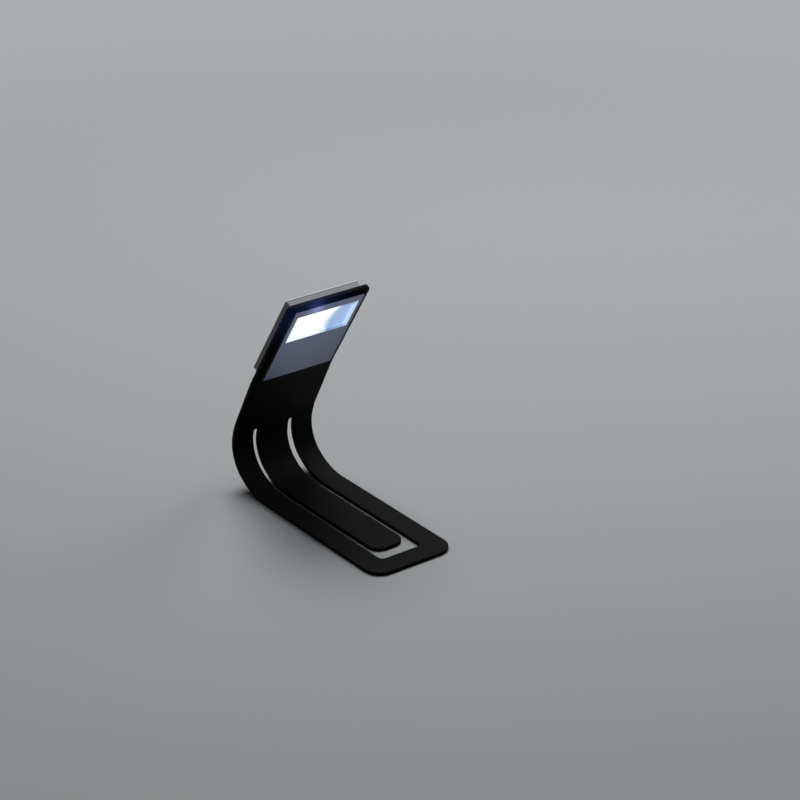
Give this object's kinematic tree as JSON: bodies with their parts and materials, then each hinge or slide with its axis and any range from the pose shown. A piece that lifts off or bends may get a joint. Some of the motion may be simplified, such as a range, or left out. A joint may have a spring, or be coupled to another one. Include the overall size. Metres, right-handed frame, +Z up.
{
  "type": "book light",
  "caption": "Flat bending book light: a black flexible leaf with a clip tongue at its foot carries a thin rectangular lamp head with a window in front and a battery cover behind.",
  "frame": {"origin": "centre of the foot bar on its underside, where the flat foot rests", "axes": "+Z up, +X across the leaf, +Y from the foot bar to the bend, so the lamp faces -Y and down"},
  "size_m": [0.037, 0.0942, 0.0898],
  "materials": {
    "leaf": "black flexible moulding, fine satin grain",
    "core": "soft annealed steel strip",
    "front_shell": "black moulded frame",
    "panel": "satin grey paint on a thin plate",
    "lens": "clear, polished",
    "reflector": "bright metallised tray",
    "lamp": "white package with a yellow phosphor dish",
    "board": "green lacquered board",
    "resistor": "black glazed chip",
    "contact": "plated spring steel",
    "cell": "bright pressed can",
    "back_shell": "silver grey moulding, fine satin",
    "knob": "black moulded knob",
    "switch": "black moulded case",
    "screw": "blackened steel"
  },
  "bodies": {
    "frame": {"clip_frame": "leaf", "frame_core": "core"},
    "yoke": {"yoke_leaf": "leaf", "yoke_core": "core"},
    "neck": {"neck_leaf": "leaf", "neck_core": "core"},
    "head": {"head_leaf": "leaf", "head_core": "core", "front_body": "front_shell", "front_panel": "panel", "window_lens": "lens", "reflector": "reflector", "led": "lamp", "circuit_board": "board", "resistor": "resistor", "switch_case": "switch", "battery_cell_front": "cell", "battery_cell_back": "cell", "contact_spring": "contact", "contact_rim": "contact", "back_housing": "back_shell", "housing_screws": "screw"},
    "switch": {"switch_lever": "switch", "switch_knob": "knob"},
    "cover": {"battery_cover": "back_shell"},
    "tongue_root": {"tongue_root": "leaf"},
    "tongue_blade": {"tongue_blade": "leaf"}
  },
  "joints": [
    {"name": "leg_bend", "type": "hinge", "parent": "frame", "child": "yoke", "pos_m": [0, 0.08572, 0.00886], "axis": [1, 0, 0], "range_deg": [-36, 12]},
    {"name": "neck_bend", "type": "hinge", "parent": "yoke", "child": "neck", "pos_m": [0, 0.08658, 0.02589], "axis": [1, 0, 0], "range_deg": [-20, 15]},
    {"name": "nape_bend", "type": "hinge", "parent": "neck", "child": "head", "pos_m": [0, 0.07414, 0.0492], "axis": [1, 0, 0], "range_deg": [-15, 12]},
    {"name": "clip_open", "type": "hinge", "parent": "yoke", "child": "tongue_root", "pos_m": [0, 0.08812, 0.02131], "axis": [1, 0, 0], "range_deg": [-10, 0], "stiffness_Nm_per_rad": 0.3},
    {"name": "tongue_bend", "type": "hinge", "parent": "tongue_root", "child": "tongue_blade", "pos_m": [0, 0.08636, 0.00839], "axis": [1, 0, 0], "range_deg": [-12, 36]},
    {"name": "switch_slide", "type": "slide", "parent": "head", "child": "switch", "axis": [1, 0, 0], "range_m": [-0.002, 0]},
    {"name": "cover_slide", "type": "slide", "parent": "head", "child": "cover", "axis": [0, 0.5446, -0.8387], "range_m": [0, 0.02]}
  ],
  "couplings": [
    {"joint": "tongue_bend", "follows": "leg_bend", "ratio": -1}
  ]
}
